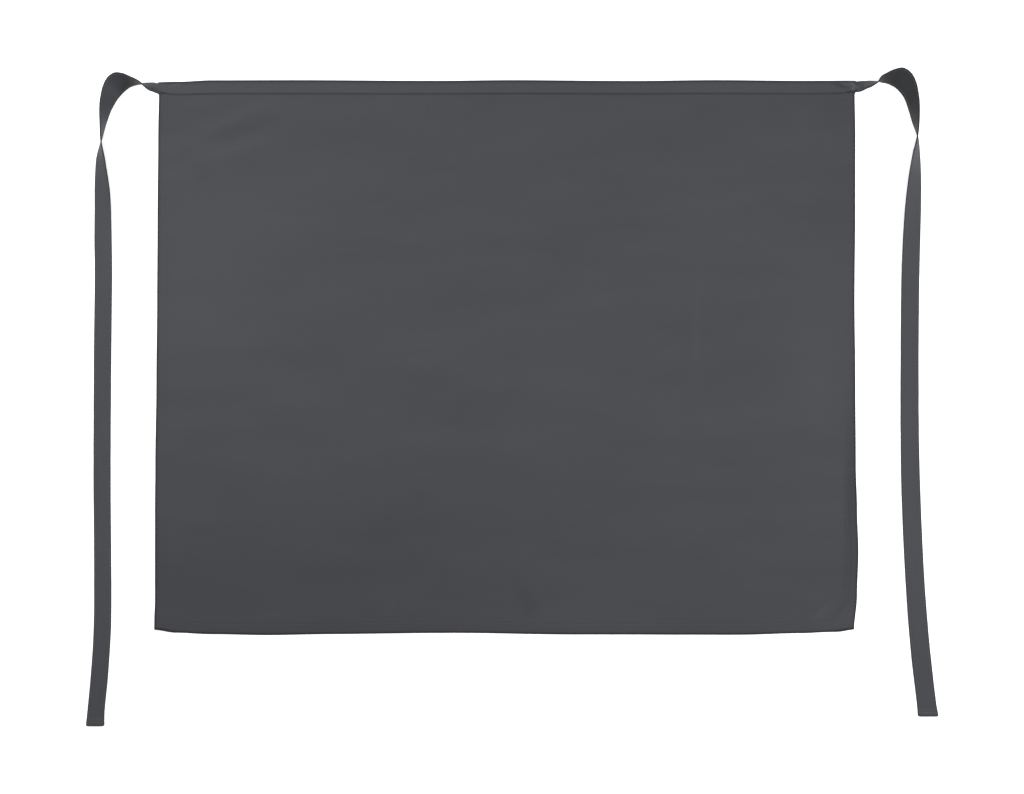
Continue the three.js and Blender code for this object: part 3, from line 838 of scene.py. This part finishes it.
# Materials. The shade runs from 0 to 1 over SHADE_RANGE, and each share below is a part of it.
CHARCOAL = (0.0361, 0.0375, 0.0424)
SHADE_RANGE = 1.4
SHADE_START = 0.34
WEAVE_SHARE = 0.07
STREAK_SHARE = 0.07
MOTTLE_SHARE = 0.18
# Painted shade: how much darker the hems and the cloth's edges are drawn, and how far it reaches
HEM_SHADE = 0.01
EDGE_SHADE = 0.62
EDGE_SHADE_WIDTH = 0.9 * MM
HEM_SHADE_FADE = 1.5 * MM

# The weave and the thread: their periods, how far they stand out, noise cells per metre, and
# how much of the weave is twill and of the streaks are slubs
TWILL_PERIOD = 0.72 * MM
WEFT_PERIOD = 0.46 * MM
WEAVE_DEPTH = 0.12 * MM
WEAVE_BUMP = 0.55
TWILL_SHARE = 0.62
SLUBS = (28, 900, 0)
WARP_SLUBS = (700, 22, 0)
SLUB_SHARE = 0.7
STREAK_HEIGHT = 0.8
MOTTLE = (7, 26, 0)
PLY_PERIOD = 0.5 * MM
PLY_DEPTH = 0.06 * MM
PLY_BUMP = 0.5
PLY_TONES = (0.8, 1.35)

# How rough the cloth and the thread are, and how much their streaks and plies change that
CLOTH_ROUGHNESS = 0.95
STREAK_ROUGHNESS = -0.16
THREAD_ROUGHNESS = 0.5
PLY_ROUGHNESS = 0.12
THREAD_SHEEN = 0.1
CLOTH_SHINE = {
    "Specular IOR Level": 0.25,
    "Sheen Weight": 0.12,
    "Sheen Roughness": 0.5,
    "Sheen Tint": (0.75, 0.78, 0.85, 1),
}

# Blender's wave texture repeats after 0.314 at scale 1, and after twice that on the diagonal
WAVE_PERIOD = 0.314


def node(tree, kind, inputs=None, **settings):
    made = tree.nodes.new(kind)
    for key, value in settings.items():
        setattr(made, key, value)
    for key, value in (inputs or {}).items():
        if isinstance(value, bpy.types.NodeSocket):
            tree.links.new(value, made.inputs[key])
        else:
            made.inputs[key].default_value = value
    return made


def calculate(tree, operation, first, second=0.0, third=0.0):
    inputs = {0: first, 1: second, 2: third}
    return node(tree, "ShaderNodeMath", inputs, operation=operation).outputs[0]


def blend(tree, share, first, second):
    """A colour between two colours."""
    inputs = {"Factor": share, "A": (*first, 1), "B": (*second, 1)}
    return node(tree, "ShaderNodeMix", inputs, data_type="RGBA").outputs["Result"]


def roughen(tree, shader, height, strength, depth):
    """Bumps on a shader's surface."""
    inputs = {"Height": height, "Strength": strength, "Distance": depth}
    bumped = node(tree, "ShaderNodeBump", inputs)
    tree.links.new(bumped.outputs["Normal"], shader.inputs["Normal"])


def scaled_noise(tree, place, scale, detail):
    stretched = node(tree, "ShaderNodeVectorMath", {0: place, 1: scale}, operation="MULTIPLY")
    inputs = {"Vector": stretched.outputs[0], "Scale": 1.0, "Detail": detail}
    return node(tree, "ShaderNodeTexNoise", inputs).outputs["Fac"]


def ribs(tree, place, period, direction):
    """A wave of ribs of one period across a direction."""
    scale = WAVE_PERIOD * (2 if direction == "DIAGONAL" else 1) / period
    inputs = {"Vector": place, "Scale": scale}
    return node(tree, "ShaderNodeTexWave", inputs, bands_direction=direction).outputs["Fac"]


def cloth_material(name, tone, reverse_painted_shade=1.0):
    """Charcoal twill: fine diagonal ribs, slubby threads, mottled dye, and painted shade and
    light.
    """
    material = bpy.data.materials.new(name)
    material.use_nodes = True
    tree = material.node_tree
    shader = tree.nodes["Principled BSDF"]
    place = node(tree, "ShaderNodeAttribute", attribute_name="cloth").outputs["Vector"]
    painted_shade = node(tree, "ShaderNodeAttribute", attribute_name="painted_shade").outputs["Fac"]
    reverse = node(tree, "ShaderNodeAttribute", attribute_name="reverse").outputs["Fac"]
    twill = ribs(tree, place, TWILL_PERIOD, "DIAGONAL")
    weft = ribs(tree, place, WEFT_PERIOD, "Y")
    slub = scaled_noise(tree, place, SLUBS, 3)
    warp_slub = scaled_noise(tree, place, WARP_SLUBS, 2)
    mottle = scaled_noise(tree, place, MOTTLE, 4)

    weft = calculate(tree, "MULTIPLY", weft, 1 - TWILL_SHARE)
    weave = calculate(tree, "MULTIPLY_ADD", twill, TWILL_SHARE, weft)
    warp_slub = calculate(tree, "MULTIPLY", warp_slub, 1 - SLUB_SHARE)
    streak = calculate(tree, "MULTIPLY_ADD", slub, SLUB_SHARE, warp_slub)
    shade = calculate(tree, "MULTIPLY", mottle, MOTTLE_SHARE)
    shade = calculate(tree, "MULTIPLY_ADD", weave, WEAVE_SHARE, shade)
    shade = calculate(tree, "MULTIPLY_ADD", streak, STREAK_SHARE, shade)
    shade = calculate(tree, "ADD", shade, SHADE_START)
    # Painted shade darkens the colour, and painted light lightens it where the value is negative
    shade = calculate(tree, "MULTIPLY_ADD", painted_shade, -1 / SHADE_RANGE, shade)
    dark, light = ([(1 + side * SHADE_RANGE / 2) * tone * c for c in CHARCOAL] for side in (-1, 1))
    colour = blend(tree, shade, dark, light)
    # The ties' reverse face is drawn darker: painted shade of their turned-over arches
    behind = calculate(tree, "MULTIPLY_ADD", reverse, reverse_painted_shade - 1, 1)
    both = node(tree, "ShaderNodeVectorMath", {0: colour, "Scale": behind}, operation="SCALE")
    tree.links.new(both.outputs[0], shader.inputs["Base Color"])
    height = calculate(tree, "MULTIPLY_ADD", streak, STREAK_HEIGHT, weave)
    roughen(tree, shader, height, WEAVE_BUMP, WEAVE_DEPTH)
    rough = calculate(tree, "MULTIPLY_ADD", streak, STREAK_ROUGHNESS, CLOTH_ROUGHNESS)
    tree.links.new(rough, shader.inputs["Roughness"])
    for key, value in CLOTH_SHINE.items():
        shader.inputs[key].default_value = value
    return material


def thread_material(name, tone):
    """Sewing thread of the cloth's colour, twisted from plies and a little brighter."""
    material = bpy.data.materials.new(name)
    material.use_nodes = True
    tree = material.node_tree
    shader = tree.nodes["Principled BSDF"]
    place = node(tree, "ShaderNodeAttribute", attribute_name="cloth").outputs["Vector"]
    ply = ribs(tree, place, PLY_PERIOD, "DIAGONAL")
    dark, light = ([share * channel * tone for channel in CHARCOAL] for share in PLY_TONES)
    tree.links.new(blend(tree, ply, dark, light), shader.inputs["Base Color"])
    roughen(tree, shader, ply, PLY_BUMP, PLY_DEPTH)
    rough = calculate(tree, "MULTIPLY_ADD", ply, PLY_ROUGHNESS, THREAD_ROUGHNESS)
    tree.links.new(rough, shader.inputs["Roughness"])
    shader.inputs["Sheen Weight"].default_value = THREAD_SHEEN
    return material


# Each finish with its tone, and the ties' with the painted shade of their reverse face as a share
# of it, deeper on the right tie, whose arch is darker
panel_finish = cloth_material("charcoal_twill", 1.0)
waistband_finish = cloth_material("charcoal_twill_waistband", 1.06)
tie_finishes = {
    "tie_left": cloth_material("charcoal_tape_left", 1.05, 0.71),
    "tie_right": cloth_material("charcoal_tape_right", 1.05, 0.52),
}
thread_finish = thread_material("charcoal_thread", 1.15)
tie_thread_finish = thread_material("charcoal_tape_thread", 2.2)


# Dressing
def dress(piece):
    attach(piece, "root")
    return piece


def painted_edge_shade(distance):
    """Painted shade near an edge: how much darker the cloth is drawn where its edge rounds off."""
    return EDGE_SHADE * np.exp(-np.maximum(distance, 0) / EDGE_SHADE_WIDTH)


def painted_shade_beside_ties(points):
    """Painted shade of the creases where the ties leave the waistband, lighter where negative."""
    return features(TIE_ROOT_PAINTED_SHADES, points[..., 0], WAIST_TOP - points[..., 1])


def make_panel():
    outer, inner = panel_grid(CLOTH / 2), panel_grid(-CLOTH / 2)
    across, along = panel_cloth_places()
    side, inset, turn, _ = panel_columns()
    down, row_turn = panel_rows()
    edge = np.where((side != 0)[:, None], inset[:, None], 1) + 0 * down
    edge = np.minimum(edge, np.abs(BOTTOM_LINE - down)[None, :])
    place_down = np.minimum(down, BOTTOM_LINE) + 0 * across
    # Painted shade: darker at the panel's edges and a little over its hems, plus its painted shade
    # and light
    hemmed = 1 - ease((edge - HEM_REACH) / HEM_SHADE_FADE)
    painted_shade = painted_edge_shade(edge) + HEM_SHADE * hemmed + features(PANEL_PAINTED_SHADES, across, place_down)
    places = np.stack([across, along, 0 * along], -1)
    values = {"cloth": places, "painted_shade": painted_shade, "reverse": 0 * edge}
    points, faces, attributes = sheet_mesh(outer, inner, panel_holds(), values)
    cloth = make_object("panel_cloth", points, faces, panel_finish, attributes)
    dress(cloth)
    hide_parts("panel")

    normals = grid_normals(outer)
    rows = []
    open_rows = np.flatnonzero((down > WAIST_CLEARED) & (down < BOTTOM_LINE) & (row_turn == 0))
    for column in np.flatnonzero((side != 0) & np.isclose(inset, STITCH_INSET)):
        rows.append((outer[column, open_rows], normals[column, open_rows]))
    open_columns = np.flatnonzero((turn == 0) & (np.where(side == 0, 1, inset) > STITCH_INSET / 2))
    for row in np.flatnonzero(np.isclose(BOTTOM_LINE - down, STITCH_INSET)):
        rows.append((outer[open_columns, row], normals[open_columns, row]))
    thread = dress(stitches(rows, "panel_stitches", thread_finish))


def make_waistband():
    outer, inner = waistband_grid(CLOTH / 2), waistband_grid(-CLOTH / 2)
    x, _ = waistband_columns()
    share, turn = waistband_rows()
    around = np.where(turn > math.pi / 2, -1, 1) * share * (WAISTBAND_DEPTH - FOLD_INSET)
    places = np.stack(np.broadcast_arrays(x[:, None], around[None, :], 0), -1)
    # Painted shade along the strip's fold and free edge, and at the creases by the ties
    painted_shade = painted_edge_shade(np.minimum(share, 1 - share) * WAISTBAND_DEPTH) + painted_shade_beside_ties(outer)
    values = {"cloth": places, "painted_shade": painted_shade, "reverse": 0 * painted_shade}
    holds = np.ones((len(x) - 1, len(turn) - 1), bool)
    points, faces, attributes = sheet_mesh(outer, inner, holds, values)
    cloth = make_object("waistband_cloth", points, faces, waistband_finish, attributes)
    dress(cloth)
    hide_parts("waistband")

    normals = grid_normals(outer)
    rows = []
    for up in WAISTBAND_STITCHES:
        seam = 1 - up / (WAISTBAND_DEPTH - FOLD_INSET)
        for row in np.flatnonzero(np.isclose(share, seam)):
            rows.append((outer[2:-2, row], normals[2:-2, row]))
    thread = dress(stitches(rows, "waistband_stitches", thread_finish))


def make_tie(name, side, turn, run, painted_shades):
    points, stops, order, reverse = tie_surface(side, turn, run)
    faces = tube_mesh(points, side)
    across = np.broadcast_to(order * TIE_WIDTH / 2, points.shape[:2])
    along = np.broadcast_to(stops[:, None], points.shape[:2])
    # Painted shade at the tape's edges and tip, along its arches, and at the creases by the
    # waistband
    edge = np.minimum(TIE_WIDTH / 2 * (1 - np.abs(order)), (stops[-1] - stops)[:, None])
    shade = curve(painted_shades, "along", "amount", (stops - TIE_INSERT) / TIE_REACH)
    painted_shade = painted_edge_shade(edge) + shade[:, None] + painted_shade_beside_ties(points)
    behind = np.broadcast_to(reverse, points.shape[:2])
    attributes = {
        "cloth": np.stack([along, across, 0 * along], -1).reshape(-1, 3),
        "painted_shade": painted_shade.ravel(),
        "reverse": behind.ravel(),
    }
    finish = tie_finishes[name]
    tape = make_object(f"{name}_tape", points.reshape(-1, 3), faces, finish, attributes)
    dress(tape)
    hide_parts(name)

    normals = grid_normals(points) * -side
    sewn = np.isclose(np.abs(order), 1 - TIE_STITCH / (TIE_WIDTH / 2))
    outside = stops > TIE_INSERT + TIE_STITCH_START
    open_stops = outside & (stops < stops[-1] - TIE_STITCH_STOP)
    rows = [(points[open_stops, ring], normals[open_stops, ring]) for ring in np.flatnonzero(sewn)]
    end = np.argmin(np.abs(stops - (stops[-1] - TIE_END_STITCH)))
    half, margin = len(order) // 2, TIE_END_MARGIN
    for face in (slice(margin, half - margin + 1), slice(half + margin + 1, -margin)):
        rows.append((points[end, face], normals[end, face]))
    thread = dress(stitches(rows, f"{name}_stitches", tie_thread_finish))


make_panel()
make_waistband()
for name, tie in TIES.items():
    make_tie(name, **tie)


# Floor, lit from below like a light table, so that it stays white and its shadows faint
FLOOR_SIZE = 8
FLOOR_WHITE = 0.9
FLOOR_ROUGHNESS = 0.9
FLOOR_GLOW = 0.45
floor_material = bpy.data.materials.new("pale_floor")
floor_material.use_nodes = True
floor_shader = floor_material.node_tree.nodes["Principled BSDF"]
floor_shader.inputs["Base Color"].default_value = (FLOOR_WHITE, FLOOR_WHITE, FLOOR_WHITE, 1)
floor_shader.inputs["Roughness"].default_value = FLOOR_ROUGHNESS
floor_shader.inputs["Emission Color"].default_value = (1, 1, 1, 1)
floor_shader.inputs["Emission Strength"].default_value = FLOOR_GLOW
FLOOR_CORNERS = ((-0.5, -0.5), (0.5, -0.5), (0.5, 0.5), (-0.5, 0.5))
corners = [(x * FLOOR_SIZE, y * FLOOR_SIZE, -GAP) for x, y in FLOOR_CORNERS]
floor = make_object("floor", corners, [(0, 1, 2, 3)], floor_material)

# Light
LOOK_AT = Vector((0, -0.27, 0))
LIGHT_SIZE = 0.6


def area_light(name, place, power):
    """A round soft light that looks at the panel and doesn't show itself."""
    light = bpy.data.lights.new(name, "AREA")
    light.shape = "DISK"
    light.size = LIGHT_SIZE
    light.energy = power
    made = bpy.data.objects.new(name, light)
    made.location = place
    made.rotation_euler = (LOOK_AT - Vector(place)).to_track_quat("-Z", "Y").to_euler()
    made.visible_camera = False
    bpy.context.scene.collection.objects.link(made)


area_light("left", (-0.66, 0.06, 0.9), power=10.2)
area_light("right", (0.75, -0.32, 0.93), power=10.6)

# The studio's walls light the apron softly, and look as white as the floor
WALL_LIGHT = 0.55
WALL_WHITE = 0.97
world = bpy.data.worlds.new("studio")
world.use_nodes = True
background = world.node_tree.nodes["Background"]
background.inputs["Color"].default_value = (1, 1, 1, 1)
seen = node(world.node_tree, "ShaderNodeLightPath").outputs["Is Camera Ray"]
walls = calculate(world.node_tree, "MULTIPLY_ADD", seen, WALL_WHITE - WALL_LIGHT, WALL_LIGHT)
world.node_tree.links.new(walls, background.inputs["Strength"])
bpy.context.scene.world = world
bpy.context.scene.view_settings.view_transform = "Standard"

# Camera, straight above the middle of the photo. Lens and sensor are in millimetres.
CAMERA_HEIGHT = 2.4178
CAMERA_LENS = 85
CAMERA_SENSOR = 36
PHOTO_MIDDLE = (0.0065, -0.3095)
camera_data = bpy.data.cameras.new("camera")
camera_data.lens = CAMERA_LENS
camera_data.sensor_width = CAMERA_SENSOR
camera = bpy.data.objects.new("camera", camera_data)
camera.location = (*PHOTO_MIDDLE, CAMERA_HEIGHT)
bpy.context.scene.collection.objects.link(camera)
bpy.context.scene.camera = camera
